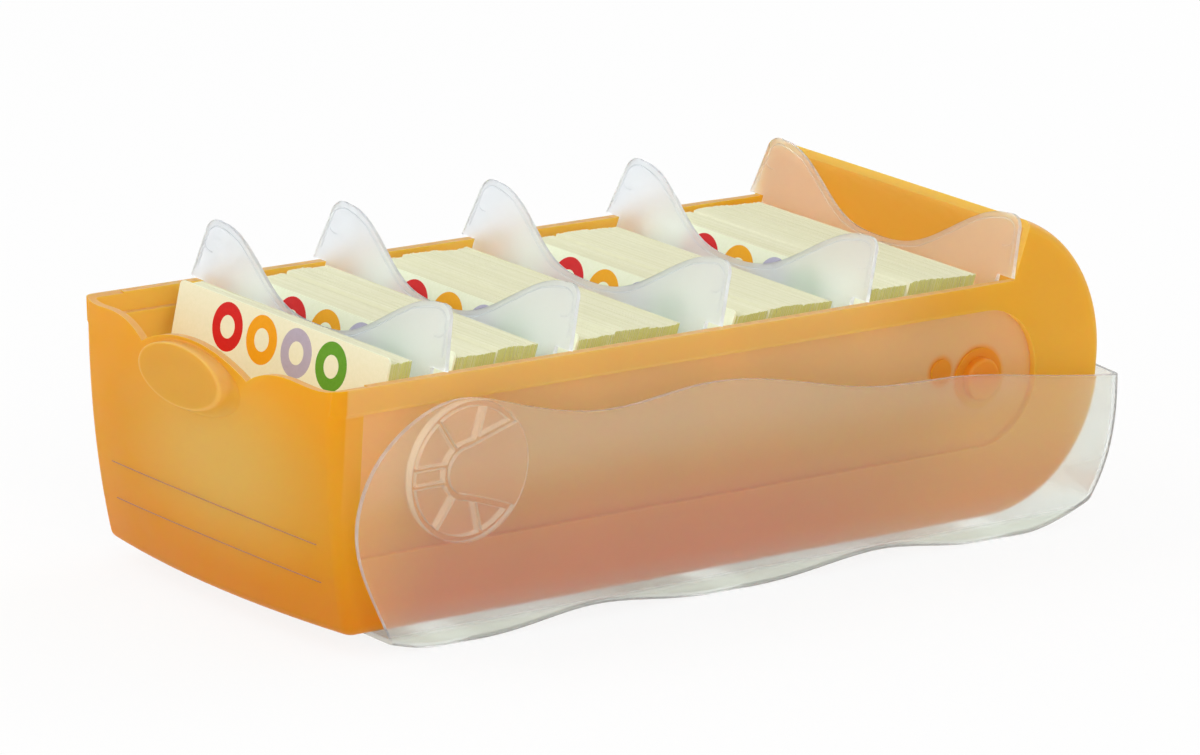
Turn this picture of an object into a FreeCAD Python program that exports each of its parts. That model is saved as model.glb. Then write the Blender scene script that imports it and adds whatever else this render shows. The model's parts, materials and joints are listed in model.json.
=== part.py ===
# Card index box: a moulded tub with a rear hood, a lid that is stored under it,
# dividers and packets of cards. Millimetres, +Z up, pull towards -Y, hood towards +Y.

import FreeCAD
import Part
import math
import os

Vector = FreeCAD.Vector

# Tub: shape is drawn with z = 0 at its underside and y = 0 near its front corners
tub_wall = 1.8
rim_height = 54.1
half_width_bottom = 43.2
half_width_middle = 44.0
half_width_rim = 44.4
half_width_above_rim = 44.6
front_bottom = 2.6
front_middle = -2.9
front_rim = -5.2
front_above_rim = -5.8
middle_height = 27.0
front_bow_radius = 240.0
corner_radius = 3.0
tub_edge_round = 2.2

# Band along the rim above the tracks: it swells out of the wall and fades out at the hood
band_reach = 0.35
band_low_z = 48.9
band_foot_z = 47.5
band_foot_inset = 0.1
band_start_y = -1.0
band_inner_x = 43.4
band_corner = (42.4, 0.6)
band_fade = [(46.0, 140.0), (43.9, 192.0)]

# Hood: concentric with the pivot boss above, fuller below
boss_y = 178.0
boss_z = 32.65
hood_centre_y = 177.0
hood_centre_z = 33.0
hood_radius = 36.2
heel_radius = 30.0
hood_edge_angle = 70.0
hood_foot_y = 185.6

# Wave along the front wall's top edge: distance from the middle, height
arch_top_z = 55.4
above_arch = 1.0
front_step_y = 8.0
front_wave = [(18.6, 50.6), (22.5, 52.8), (31.5, 54.1), (38.0, 53.5), (44.0, 54.1)]

# Oval pull that flares into the front wall: its root lies lower than its face
pull_centre_z = 47.9
pull_half_width = 14.7
pull_half_height = 6.7
pull_front = -8.2
pull_edge_round = 0.8
pull_flare = 3.6
pull_droop = 0.22
pull_core_margin = 1.9
pull_face_thickness = 1.6

# Side tracks for the lid's wheels
track_front_y = 6.8
track_half_height = 15.6
track_floor_x = 42.4
track_wall = 1.6
collar_radius = 6.8
collar_height = 0.4
boss_radius = 4.7
boss_face_x = 44.8
boss_edge_round = 0.8
bump_y = 167.0
bump_z = 35.4
bump_radius = 2.8
bump_height = 0.4

# Floor rails that the cards stand on
rail_top = 5.0
rail_thickness = 1.5
rail_places = [-32.0, -12.0, 12.0, 32.0]
rail_front_y = 12.0
rail_back_y = 184.0

# Lid, stored upside-down under the tub
lid_half_width = 46.7
lid_wall = 1.2
lid_plate = 1.3
lid_edge_round = 1.6
lid_end = 222.4
lid_end_taper = 6.9
lid_end_taper_power = 2.5
lid_end_taper_height = 24.0
lid_section_heights = [-8.0, 0.0, 8.0, 16.0, 24.0]

# Side outline of the lid's plate: three level feet with a wave between each two
foot_plane = -4.6
foot_places = [34.0, 109.0, 186.0]
foot_half_length = 5.0
plate_waves = [(69.0, -1.9), (151.0, -1.8)]
plate_lead = [(-20.0, 6.0), (15.5, -2.3)]
plate_tail = [(201.0, -3.1), (212.0, 1.0), (228.0, 11.0)]

# Side outline of the lid's mouth, from the plate's front edge round the ear to the end wall
lid_mouth = [(15.5, -2.3), (9.2, 9.5), (4.8, 23.0), (8.6, 36.6), (18.0, 45.2), (29.5, 48.9),
             (44.0, 46.2), (58.0, 42.6), (73.0, 41.1), (96.0, 43.2), (122.0, 40.3),
             (145.0, 35.9), (170.0, 34.9), (190.0, 32.4), (206.0, 30.2), (230.0, 28.2)]
below_lid_z = -20.0

# Wheels on the inside of the lid's side walls
wheel_y = 34.1
wheel_radius = 15.2
wheel_rim = 1.2
wheel_inner_x = 43.1
wheel_pad_radius = 15.35
wheel_pad = 0.5
hub_bore_radius = 5.1
hub_wall = 1.3
throat_half_at_rim = 9.0
throat_overrun = 5.0
rib_thickness = 0.8
rib_angles = [75.0, 125.0, 235.0, 285.0]
rib_pair_offset = 1.9

# Dividers: rim station, lean in degrees
divider_thickness = 1.0
divider_half_width = 40.0
shoulder_half_width = 44.7
ear_half_width = 42.8
ear_top_z = 67.6
ear_round = 3.0
divider_wave = [(0.0, 54.3), (11.0, 55.5), (16.6, 57.8), (22.0, 61.0), (27.0, 64.0),
                (31.5, 66.2), (38.5, 67.6)]
dividers = [(27.0, 12.0), (59.8, 16.0), (100.7, 17.5), (141.8, 18.5), (184.1, 15.5)]

# Card stacks: front and back station at rim height, lean in degrees, packet names
card_half_width = 37.0
card_height = 52.0
header_thickness = 0.5
header_rise = 0.4
packet_steps = [(-0.4, 0.0), (0.1, 0.4), (-0.6, -0.3)]
stacks = [
    (18.4, 24.4, 10.0, [""]),
    (35.5, 57.3, 15.0, ["front", "rear"]),
    (68.4, 97.0, 16.5, ["front", "middle", "rear"]),
    (111.7, 139.6, 18.0, ["front", "middle", "rear"]),
    (149.6, 180.8, 15.0, ["front", "middle", "rear"]),
]

# Clearance between pieces that move apart
rest_gap = 0.2
shoulder_gap = 0.25

# How far an added feature is sunk into the wall that it stands on
root = 0.5

# Reach of cutting shapes past the walls that they cut
beyond = 60.0
tall = 80.0

# An edge this far along the width runs across the part, and one this near an outline lies on it
across_width = 1.0
on_outline = 0.02
on_face = 0.01

# How far the middle of a rounded corner's arc lies inside the corner, as a share of its radius
arc_middle_inset = 1 - math.sqrt(0.5)

# Place of the drawn shapes in the part's frame: base on z = 0, middle of the footprint at y = 0
frame_shift = Vector(0, -(pull_front + lid_end) / 2, -foot_plane)


def plan_wire(z, half_width, front_y, back_y, inset):
    """Rounded plan outline with a bowed front, drawn inset by a wall thickness."""
    corner_x = half_width - corner_radius
    bow_y = front_y + front_bow_radius
    corner_y = bow_y - math.sqrt((front_bow_radius - corner_radius) ** 2 - corner_x ** 2)
    bow = front_bow_radius - inset
    round_r = corner_radius - inset
    turn = math.atan2(corner_x, bow_y - corner_y)
    tangent_x = corner_x + round_r * math.sin(turn)
    tangent_y = corner_y - round_r * math.cos(turn)
    middle_turn = (turn + math.pi / 2) / 2
    arc_x = corner_x + round_r * math.sin(middle_turn)
    arc_y = corner_y - round_r * math.cos(middle_turn)
    side_x = half_width - inset

    def at(x, y):
        return Vector(x, y, z)

    front = Part.Arc(at(-tangent_x, tangent_y), at(0, bow_y - bow), at(tangent_x, tangent_y))
    right = Part.Arc(at(tangent_x, tangent_y), at(arc_x, arc_y), at(side_x, corner_y))
    left = Part.Arc(at(-side_x, corner_y), at(-arc_x, arc_y), at(-tangent_x, tangent_y))
    edges = [
        front.toShape(),
        right.toShape(),
        Part.makeLine(at(side_x, corner_y), at(side_x, back_y)),
        Part.makeLine(at(side_x, back_y), at(-side_x, back_y)),
        Part.makeLine(at(-side_x, back_y), at(-side_x, corner_y)),
        left.toShape(),
    ]
    return Part.Wire(edges)


def side_prism(edges, low_x, high_x):
    """Prism across the width from a closed outline in the y-z plane at x = 0."""
    face = Part.Face(Part.Wire(edges))
    face.translate(Vector(low_x, 0, 0))
    return face.extrude(Vector(high_x - low_x, 0, 0))


def side_point(y, z):
    return Vector(0, y, z)


def side_line(start, end):
    return Part.makeLine(side_point(*start), side_point(*end))


def side_curve(points):
    curve = Part.BSplineCurve()
    curve.interpolate([side_point(y, z) for y, z in points])
    return curve.toShape()


def levelled_curve(points, starts_level, ends_level):
    """Smooth curve that leaves or meets its neighbour level."""
    level = Vector(0, 1, 0)
    first = side_point(*points[1]) - side_point(*points[0])
    last = side_point(*points[-1]) - side_point(*points[-2])
    curve = Part.BSplineCurve()
    curve.interpolate(Points=[side_point(y, z) for y, z in points],
                      InitialTangent=level if starts_level else first,
                      FinalTangent=level if ends_level else last)
    return curve.toShape()


def tub_loft(inset):
    sections = [
        (0.0, half_width_bottom, front_bottom),
        (middle_height, half_width_middle, front_middle),
        (rim_height, half_width_rim, front_rim),
        (tall, half_width_above_rim, front_above_rim),
    ]
    wires = [plan_wire(z, half, front, boss_y + beyond, inset) for z, half, front in sections]
    return Part.makeLoft(wires, True, False)


def upper_wall_at(z):
    """Half width and front apex of the wall between its middle and the rim."""
    share = (z - middle_height) / (rim_height - middle_height)
    half = half_width_middle + share * (half_width_rim - half_width_middle)
    front = front_middle + share * (front_rim - front_middle)
    return half, front


def rim_band():
    """Band on one side wall, from the front corner to the hood."""
    wires = []
    for z, inset in [(band_foot_z, band_foot_inset), (band_low_z, -band_reach), (rim_height, -band_reach)]:
        half, front = upper_wall_at(z)
        wires.append(plan_wire(z, half, front, boss_y + beyond, inset))
    grown = Part.makeLoft(wires, True, True)
    wide_x, fade_y = band_fade[0]
    end_x, end_y = band_fade[1]
    corner_x, corner_y = band_corner
    plan = [(corner_x, band_start_y), (wide_x, band_start_y), (wide_x, fade_y), (end_x, end_y),
            (band_inner_x, end_y), (band_inner_x, corner_y), (corner_x, corner_y)]
    corners = [Vector(x, y, 0) for x, y in plan + plan[:1]]
    return grown.common(Part.Face(Part.makePolygon(corners)).extrude(Vector(0, 0, tall)))


def hood_arc(radius, start_angle, end_angle, centre):
    points = []
    for angle in (start_angle, (start_angle + end_angle) / 2, end_angle):
        turn = math.radians(angle)
        points.append(side_point(centre[0] + radius * math.cos(turn), centre[1] + radius * math.sin(turn)))
    return Part.Arc(*points).toShape()


def tub_side_outline(inset, roofed):
    """Side outline of the tub, or of its cavity when it has no roof line."""
    low = inset
    heel_r = heel_radius - inset
    hood_r = hood_radius - inset
    heel_centre = (hood_centre_y + hood_radius - heel_radius, heel_radius)
    rear_y = hood_centre_y + hood_r
    front_y = -beyond
    edges = [
        side_line((front_y, low), (heel_centre[0], low)),
        hood_arc(heel_r, -90.0, 0.0, heel_centre),
        side_line((rear_y, heel_radius), (rear_y, hood_centre_z)),
    ]
    if roofed:
        edge_turn = math.radians(hood_edge_angle)
        edge_y = hood_centre_y + hood_r * math.cos(edge_turn)
        edge_z = hood_centre_z + hood_r * math.sin(edge_turn)
        top_z = arch_top_z + above_arch
        edges += [
            hood_arc(hood_r, 0.0, hood_edge_angle, (hood_centre_y, hood_centre_z)),
            side_line((edge_y, edge_z), (hood_foot_y, rim_height)),
            side_line((hood_foot_y, rim_height), (front_step_y, rim_height)),
            side_line((front_step_y, rim_height), (front_step_y, top_z)),
            side_line((front_step_y, top_z), (front_y, top_z)),
            side_line((front_y, top_z), (front_y, low)),
        ]
    else:
        crown_z = hood_centre_z + hood_r
        edges += [
            hood_arc(hood_r, 0.0, 90.0, (hood_centre_y, hood_centre_z)),
            side_line((hood_centre_y, crown_z), (hood_centre_y, tall)),
            side_line((hood_centre_y, tall), (front_y, tall)),
            side_line((front_y, tall), (front_y, low)),
        ]
    return edges


def pull_boss():
    """Pull turned about the y axis as a round button, then pressed flat and slanted down to its root."""
    face_radius = pull_half_width - pull_edge_round
    edge_y = pull_front + pull_edge_round
    root_radius = pull_half_width + pull_flare
    root_y = edge_y + pull_flare
    slant = math.sqrt(0.5)

    def at(radius, y):
        return Vector(radius, y, 0)

    edge_middle = at(face_radius + pull_edge_round * slant, edge_y - pull_edge_round * slant)
    flare_middle = at(root_radius - pull_flare * slant, edge_y + pull_flare * slant)
    edges = [
        Part.makeLine(at(0, pull_front), at(face_radius, pull_front)),
        Part.Arc(at(face_radius, pull_front), edge_middle, at(pull_half_width, edge_y)).toShape(),
        Part.Arc(at(pull_half_width, edge_y), flare_middle, at(root_radius, root_y)).toShape(),
        Part.makeLine(at(root_radius, root_y), at(root_radius, front_bottom)),
        Part.makeLine(at(root_radius, front_bottom), at(0, front_bottom)),
        Part.makeLine(at(0, front_bottom), at(0, pull_front)),
    ]
    turned = Part.Face(Part.Wire(edges)).revolve(Vector(0, 0, 0), Vector(0, 1, 0), 360)
    press = FreeCAD.Matrix()
    press.A33 = pull_half_height / pull_half_width
    press.A32 = -pull_droop
    press.A34 = pull_centre_z + pull_droop * pull_front
    return turned.transformGeometry(press)


def pull_core():
    """Hollow behind the pull, open to the inside of the tub."""
    centre = Vector(0, tub_wall, pull_centre_z - pull_droop * pull_face_thickness)
    side = centre + Vector(pull_half_width - pull_core_margin, 0, 0)
    top = centre + Vector(0, 0, pull_half_height - pull_core_margin)
    core = Part.Wire(Part.Ellipse(side, top, centre).toShape())
    depth = tub_wall - (pull_front + pull_face_thickness)
    return Part.Face(core).extrude(Vector(0, -depth, 0))


def front_wave_cut():
    """Everything above the front wall's waving top edge."""
    def at(x, z):
        return Vector(x, 0, z)

    def wave(sign):
        curve = Part.BSplineCurve()
        curve.interpolate([at(sign * x, z) for x, z in front_wave])
        return curve.toShape()

    valley_x, valley_z = front_wave[0]
    end_x, end_z = front_wave[-1]
    arch = Part.Arc(at(-valley_x, valley_z), at(0, arch_top_z), at(valley_x, valley_z)).toShape()
    edges = [
        wave(-1),
        arch,
        wave(1),
        Part.makeLine(at(end_x, end_z), at(beyond, end_z)),
        Part.makeLine(at(beyond, end_z), at(beyond, tall)),
        Part.makeLine(at(beyond, tall), at(-beyond, tall)),
        Part.makeLine(at(-beyond, tall), at(-beyond, end_z)),
        Part.makeLine(at(-beyond, end_z), at(-end_x, end_z)),
    ]
    face = Part.Face(Part.Wire(Part.__sortEdges__(edges)))
    face.translate(Vector(0, -beyond, 0))
    return face.extrude(Vector(0, beyond + front_step_y, 0))


def track_shape(grow, low_x, high_x):
    """Slot outline of a side track, grown outwards by a wall thickness."""
    half = track_half_height + grow
    front = track_front_y - grow
    top = boss_z + half
    low = boss_z - half
    edges = [
        side_line((front, low), (boss_y, low)),
        hood_arc(half, -90.0, 90.0, (boss_y, boss_z)),
        side_line((boss_y, top), (front, top)),
        side_line((front, top), (front, low)),
    ]
    return side_prism(edges, low_x, high_x)


def round_post(radius, low_x, high_x, y, z):
    return Part.makeCylinder(radius, high_x - low_x, Vector(low_x, y, z), Vector(1, 0, 0))


def pivot_boss():
    sunk_x = track_floor_x - root
    collar = round_post(collar_radius, sunk_x, track_floor_x + collar_height, boss_y, boss_z)
    post = round_post(boss_radius, sunk_x, boss_face_x, boss_y, boss_z)
    face_edge = [edge for edge in post.Edges if edge.BoundBox.XMin > boss_face_x - on_face]
    post = post.makeFillet(boss_edge_round, face_edge)
    bump = round_post(bump_radius, sunk_x, track_floor_x + bump_height, bump_y, bump_z)
    return collar.fuse([post, bump])


def mirrored(shape):
    return shape.mirror(Vector(0, 0, 0), Vector(1, 0, 0))


def edges_along(shape, outline):
    """Edges that follow a side outline, leaving out straight lines across the width."""
    target = Part.Compound(outline)
    found = []
    for edge in shape.Edges:
        across = abs(edge.Vertexes[0].X - edge.Vertexes[-1].X)
        if edge.Curve.TypeId == "Part::GeomLine" and across > across_width:
            continue
        first, last = edge.ParameterRange
        points = [edge.valueAt(first + share * (last - first)) for share in (0.1, 0.5, 0.9)]
        distances = [target.distToShape(Part.Vertex(0, point.y, point.z))[0] for point in points]
        if max(distances) < on_outline:
            found.append(edge)
    return found


def make_tub():
    outline = tub_side_outline(0.0, True)
    outside = tub_loft(0.0).common(side_prism(outline, -beyond, beyond))
    underside_to_crown = outline[:4]
    outside = outside.makeFillet(tub_edge_round, edges_along(outside, underside_to_crown))
    outside = outside.fuse(pull_boss())
    cavity = tub_loft(tub_wall).common(side_prism(tub_side_outline(tub_wall, False), -beyond, beyond))
    shell = outside.cut(cavity)
    shell = shell.cut(pull_core())
    band = rim_band()
    shell = shell.fuse([band, mirrored(band)])
    shell = shell.cut(front_wave_cut())

    panel = track_shape(track_wall, track_floor_x - track_wall, track_floor_x + root)
    panel = panel.common(outside)
    shell = shell.fuse([panel, mirrored(panel)])

    track = track_shape(0.0, track_floor_x, beyond)
    shell = shell.cut([track, mirrored(track)])

    boss = pivot_boss()
    rails = []
    rail_length = rail_back_y - rail_front_y
    rail_height = rail_top - tub_wall + root
    for x in rail_places:
        corner = Vector(x - rail_thickness / 2, rail_front_y, tub_wall - root)
        rails.append(Part.makeBox(rail_thickness, rail_length, rail_height, corner))
    return shell.fuse([boss, mirrored(boss)] + rails).removeSplitter()


def lid_end_at(z):
    """Middle of the end wall at a height: upright above, drawn in below."""
    share = max(0.0, 1.0 - z / lid_end_taper_height)
    return lid_end - lid_end_taper * share ** lid_end_taper_power


def lid_loft(inset):
    wires = []
    for z in lid_section_heights + [tall]:
        wire = plan_wire(z, lid_half_width, -lid_end_at(z), beyond, inset)
        turn = FreeCAD.Matrix()
        turn.rotateZ(math.pi)
        wires.append(wire.transformGeometry(turn))
    return Part.makeLoft(wires, True, False)


def lid_plate_edges(rise):
    """Side outline of the plate: lead, feet with waves between them, tail."""
    def raised(points):
        return [(y, z + rise) for y, z in points]

    feet = []
    for y in foot_places:
        feet.append(raised([(y - foot_half_length, foot_plane), (y + foot_half_length, foot_plane)]))
    edges = [levelled_curve(raised(plate_lead) + [feet[0][0]], False, True)]
    for foot, wave, next_foot in zip(feet, plate_waves, feet[1:]):
        edges.append(side_line(*foot))
        edges.append(levelled_curve([foot[1]] + raised([wave]) + [next_foot[0]], True, True))
    edges.append(side_line(*feet[-1]))
    edges.append(levelled_curve([feet[-1][1]] + raised(plate_tail), True, False))
    return edges


def lid_bottom_prism(rise):
    first_y, first_z = plate_lead[0]
    last_y, last_z = plate_tail[-1]
    edges = lid_plate_edges(rise) + [
        side_line((last_y, last_z + rise), (last_y, tall)),
        side_line((last_y, tall), (first_y, tall)),
        side_line((first_y, tall), (first_y, first_z + rise)),
    ]
    return side_prism(edges, -beyond, beyond)


def lid_mouth_prism():
    first = lid_mouth[0]
    last = lid_mouth[-1]
    edges = [
        side_curve(lid_mouth),
        side_line(last, (last[0], below_lid_z)),
        side_line((last[0], below_lid_z), (first[0], below_lid_z)),
        side_line((first[0], below_lid_z), first),
    ]
    return side_prism(edges, -beyond, beyond)


def make_rib(angle, offset):
    """Straight rib from the hub to the wheel's rim, turned to its angle."""
    start = hub_bore_radius + hub_wall / 2
    length = wheel_radius - wheel_rim / 2 - start
    depth = lid_half_width - lid_wall - wheel_inner_x + root
    corner = Vector(wheel_inner_x, start, offset - rib_thickness / 2)
    rib = Part.makeBox(depth, length, rib_thickness, corner)
    rib.rotate(Vector(0, 0, 0), Vector(1, 0, 0), angle)
    return rib


def make_wheel():
    """Wheel drawn about the x axis: pad, rim, ribs, and a hub open to the rear."""
    inner_face = lid_half_width - lid_wall
    outer_x = inner_face + root
    rim_inner = wheel_radius - wheel_rim
    rim = round_post(wheel_radius, wheel_inner_x, outer_x, 0, 0)
    rim = rim.cut(round_post(rim_inner, 0, beyond, 0, 0))
    hub = round_post(hub_bore_radius + hub_wall, wheel_inner_x, outer_x, 0, 0)

    tip_y = wheel_radius * math.cos(math.asin(throat_half_at_rim / wheel_radius))
    guard_low = hub_bore_radius + hub_wall
    guard_high = throat_half_at_rim + hub_wall
    guard_edges = [
        side_line((0, -guard_low), (tip_y, -guard_high)),
        side_line((tip_y, -guard_high), (tip_y, guard_high)),
        side_line((tip_y, guard_high), (0, guard_low)),
        side_line((0, guard_low), (0, -guard_low)),
    ]
    guard = side_prism(guard_edges, wheel_inner_x, outer_x)
    guard = guard.common(round_post(wheel_radius, 0, beyond, 0, 0))

    ribs = [make_rib(angle, 0.0) for angle in rib_angles]
    ribs += [make_rib(180.0, rib_pair_offset), make_rib(180.0, -rib_pair_offset)]

    reach = wheel_radius + throat_overrun
    spread = throat_half_at_rim + (throat_half_at_rim - hub_bore_radius) * (reach - tip_y) / tip_y
    throat_edges = [
        side_line((0, -hub_bore_radius), (reach, -spread)),
        side_line((reach, -spread), (reach, spread)),
        side_line((reach, spread), (0, hub_bore_radius)),
        side_line((0, hub_bore_radius), (0, -hub_bore_radius)),
    ]
    throat = side_prism(throat_edges, 0, beyond)
    bore = round_post(hub_bore_radius, 0, beyond, 0, 0)
    wheel = rim.fuse([hub, guard] + ribs).cut([throat, bore])

    pad = round_post(wheel_pad_radius, inner_face - wheel_pad, outer_x, 0, 0)
    wheel = wheel.fuse(pad)
    wheel.translate(Vector(0, wheel_y, boss_z))
    return wheel


def make_lid():
    outside = lid_loft(0.0).common(lid_bottom_prism(0.0))
    outside = outside.makeFillet(lid_edge_round, edges_along(outside, lid_plate_edges(0.0)))
    inside = lid_loft(lid_wall).common(lid_bottom_prism(lid_plate))
    shell = outside.cut(inside).common(lid_mouth_prism())
    wheel = make_wheel()
    return shell.fuse([wheel, mirrored(wheel)]).removeSplitter()


def divider_outline(lean):
    """Outline in the divider's own plane: heights are measured along its slope."""
    slope = 1 / math.cos(math.radians(lean))
    foot_z = rail_top + rest_gap

    def at(x, z):
        return Vector(x, 0, (z - foot_z) * slope)

    shoulder_z = rim_height + shoulder_gap + divider_thickness * math.sin(math.radians(lean))
    wave_points = [at(-x, z) for x, z in reversed(divider_wave[1:])] + [at(x, z) for x, z in divider_wave]
    wave = Part.BSplineCurve()
    wave.interpolate(wave_points)

    corner_inset = arc_middle_inset * ear_round

    def half(sign):
        ear_end = at(sign * divider_wave[-1][0], divider_wave[-1][1])
        corner = at(sign * (ear_half_width - corner_inset), ear_top_z - corner_inset)
        ear_side = at(sign * ear_half_width, ear_top_z - ear_round)
        shoulder = at(sign * shoulder_half_width, shoulder_z)
        neck = at(sign * divider_half_width, shoulder_z)
        foot = at(sign * divider_half_width, foot_z)
        return [
            Part.Arc(ear_end, corner, ear_side).toShape(),
            Part.makeLine(ear_side, shoulder),
            Part.makeLine(shoulder, neck),
            Part.makeLine(neck, foot),
        ]

    bottom = Part.makeLine(at(-divider_half_width, foot_z), at(divider_half_width, foot_z))
    edges = [wave.toShape(), bottom] + half(1) + half(-1)
    return Part.Face(Part.Wire(Part.__sortEdges__(edges)))


def make_divider(station, lean):
    plate = divider_outline(lean).extrude(Vector(0, divider_thickness, 0))
    turn = math.radians(lean)
    plate.rotate(Vector(0, 0, 0), Vector(1, 0, 0), -lean)
    foot_z = rail_top + rest_gap + divider_thickness * math.sin(turn)
    foot_y = station - (rim_height - foot_z) * math.tan(turn)
    plate.translate(Vector(0, foot_y, foot_z))
    return plate


def make_packet(front, thickness, lean, rise, sideways):
    """Leaning packet of cards: upright cards pushed back, so its ends are level."""
    turn = math.radians(lean)
    foot_z = rail_top + rest_gap
    foot_y = front - (rim_height - foot_z) * math.tan(turn)
    height = card_height * math.cos(turn) + rise
    push = height * math.tan(turn)
    edges = [
        side_line((foot_y, foot_z), (foot_y + thickness, foot_z)),
        side_line((foot_y + thickness, foot_z), (foot_y + thickness + push, foot_z + height)),
        side_line((foot_y + thickness + push, foot_z + height), (foot_y + push, foot_z + height)),
        side_line((foot_y + push, foot_z + height), (foot_y, foot_z)),
    ]
    return side_prism(edges, sideways - card_half_width, sideways + card_half_width)


def make_stack(number, front, back, lean, names):
    pieces = {"header_card_%d" % number: make_packet(front, header_thickness, lean, header_rise, 0.0)}
    start = front + header_thickness
    thickness = (back - start) / len(names)
    for index, name in enumerate(names):
        rise, sideways = packet_steps[index]
        node = "cards_%d_%s" % (number, name) if name else "cards_%d" % number
        pieces[node] = make_packet(start + index * thickness, thickness, lean, rise, sideways)
    return pieces


def make_all():
    pieces = {"tub": make_tub(), "lid": make_lid()}
    for number, (station, lean) in enumerate(dividers, 1):
        pieces["divider_%d" % number] = make_divider(station, lean)
    for number, (front, back, lean, names) in enumerate(stacks, 1):
        pieces.update(make_stack(number, front, back, lean, names))
    return pieces


def main():
    os.makedirs("parts", exist_ok=True)
    for name, shape in make_all().items():
        shape.translate(frame_shift)
        box = shape.BoundBox
        print("%-16s valid=%s solids=%d volume=%.0f y %.1f..%.1f z %.1f..%.1f" % (
            name, shape.isValid(), len(shape.Solids), shape.Volume, box.YMin, box.YMax, box.ZMin, box.ZMax))
        shape.exportStep("parts/%s.step" % name)


main()
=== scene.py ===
import json
import math

import bmesh
import bpy
from mathutils import Matrix, Vector
from mathutils.bvhtree import BVHTree
from mathutils.geometry import delaunay_2d_cdt


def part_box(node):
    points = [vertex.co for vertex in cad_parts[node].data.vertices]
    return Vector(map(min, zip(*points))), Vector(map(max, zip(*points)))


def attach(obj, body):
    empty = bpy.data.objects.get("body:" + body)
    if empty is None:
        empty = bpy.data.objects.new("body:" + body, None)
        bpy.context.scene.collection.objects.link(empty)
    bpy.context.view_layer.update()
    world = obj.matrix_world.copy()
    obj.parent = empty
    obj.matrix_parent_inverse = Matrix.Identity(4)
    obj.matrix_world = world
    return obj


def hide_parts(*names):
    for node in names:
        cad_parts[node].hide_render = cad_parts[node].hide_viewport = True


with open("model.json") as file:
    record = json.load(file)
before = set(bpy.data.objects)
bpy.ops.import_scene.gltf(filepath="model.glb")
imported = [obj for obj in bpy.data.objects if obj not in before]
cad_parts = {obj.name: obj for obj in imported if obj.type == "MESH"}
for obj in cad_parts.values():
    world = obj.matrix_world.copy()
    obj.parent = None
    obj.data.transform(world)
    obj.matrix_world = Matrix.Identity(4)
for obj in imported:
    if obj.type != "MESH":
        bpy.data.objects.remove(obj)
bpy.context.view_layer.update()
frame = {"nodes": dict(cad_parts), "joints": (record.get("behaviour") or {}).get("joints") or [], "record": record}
nodes = frame["nodes"]

# Lengths below are in mm, and are brought to metres where a mesh or a light is made
mm = 0.001

# Camera: turned round the box, raised and rolled, in degrees, and aimed from the drawn origin
camera_turn = 50.452
camera_rise = 15.243
camera_roll = 2.732
camera_distance = 1579.05
camera_aim_right = 83.723
camera_aim_up = 44.786
camera_lens = 225.0
camera_sensor = 36.0

# Origin that the box was drawn from
drawn_origin = Vector((0.0, -107.1, 4.6))

# Studio: level of the world's light, share of white glow on the floor where it is seen, the floor's
# side, and its grey
world_level = 0.62
floor_glow = 0.85
floor_size = 6000.0
floor_grey = 0.92

# Soft lamps: name, place, aim, size, and power in watts
lamps = [
    ("key_lamp", (-700.0, -900.0, 1100.0), (0.0, 0.0, 30.0), 900.0, 6.0),
    ("front_lamp", (100.0, -1500.0, 350.0), (0.0, 60.0, 50.0), 800.0, 3.5),
    ("side_lamp", (1300.0, -300.0, 700.0), (0.0, 0.0, 30.0), 900.0, 6.0),
    ("rear_lamp", (-300.0, 1300.0, 900.0), (0.0, 60.0, 40.0), 900.0, 6.0),
]

# Tub's wall: face and lower edge of the rim band, and the floor of the sunk track
band_face = 44.25
band_low = 52.85
track_face = 42.4

# Boss that takes the lid's wheel, and the bump beside it: place seen from the side, and radius
boss_place = (70.9, 37.25)
boss_reach = 7.2
bump_place = (59.9, 40.0)
bump_reach = 3.4
boss_softness = 1.0

# Each fade runs from where a tone of the tub starts to where it is full.
# These are places along the box
hood_fade = (50.0, 90.0)
front_fade = (-85.0, -100.0)
low_side_front = (-104.0, -76.0)
low_side_rear = (80.0, 0.0)
lit_inner_along = (74.0, 60.0)
lit_under_hood_along = (74.0, 80.0)
track_start = (-101.2, -100.6)
band_start = (-105.2, -104.4)
strip_end = (-99.0, -100.2)
band_fade = (80.0, 20.0)

# These are distances from the middle plane
low_side_across = (34.0, 39.0)
outer_side = (track_face - 0.08, track_face - 0.04)
track_side = (track_face + 0.08, track_face + 0.04)
strip_across = (band_face - 1.2, band_face - 0.2)
band_across = (band_face - 0.1, band_face + 0.1)

# These are heights
low_fade = (28.0, 4.0)
low_side_height = (44.0, 6.0)
lit_inner_height = (25.0, 45.0)
lit_under_hood_height = (30.0, 44.0)
track_height = (25.65, 41.65)
track_top = (band_low + 0.2, band_low - 0.2)
strip_height = (24.0, 48.0)
band_height = (band_low - 0.6, band_low + 0.2)
top_highlight_height = (46.0, 50.0)
boss_height = (30.0, 40.0)

# These say which way a face looks, for the painted light: inwards, along the box, and up
lit_inner_facing = (-0.3, -0.7)
lit_under_hood_facing = (-0.1, -0.5)
top_highlight_facing = (0.6, 0.9)

# Front wall: the pull's middle and half sizes, where its face stands proud, and the patch of painted light.
# The fades of the pull, the painted highlight on its lip and the lit patch are shares of an oval's reach, where
# one is its edge
pull_place = (0.0, 52.5)
pull_reach = (14.7, 6.7)
pull_proud = (-111.6, -112.4)
pull_fade = (1.3, 0.7)
pull_highlight_inside = (0.9, 0.98)
pull_highlight_outside = (1.03, 0.99)
lit_patch_place = (9.0, 36.5)
lit_patch_reach = (44.0, 28.0)
lit_patch_fade = (1.0, 0.1)

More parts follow.
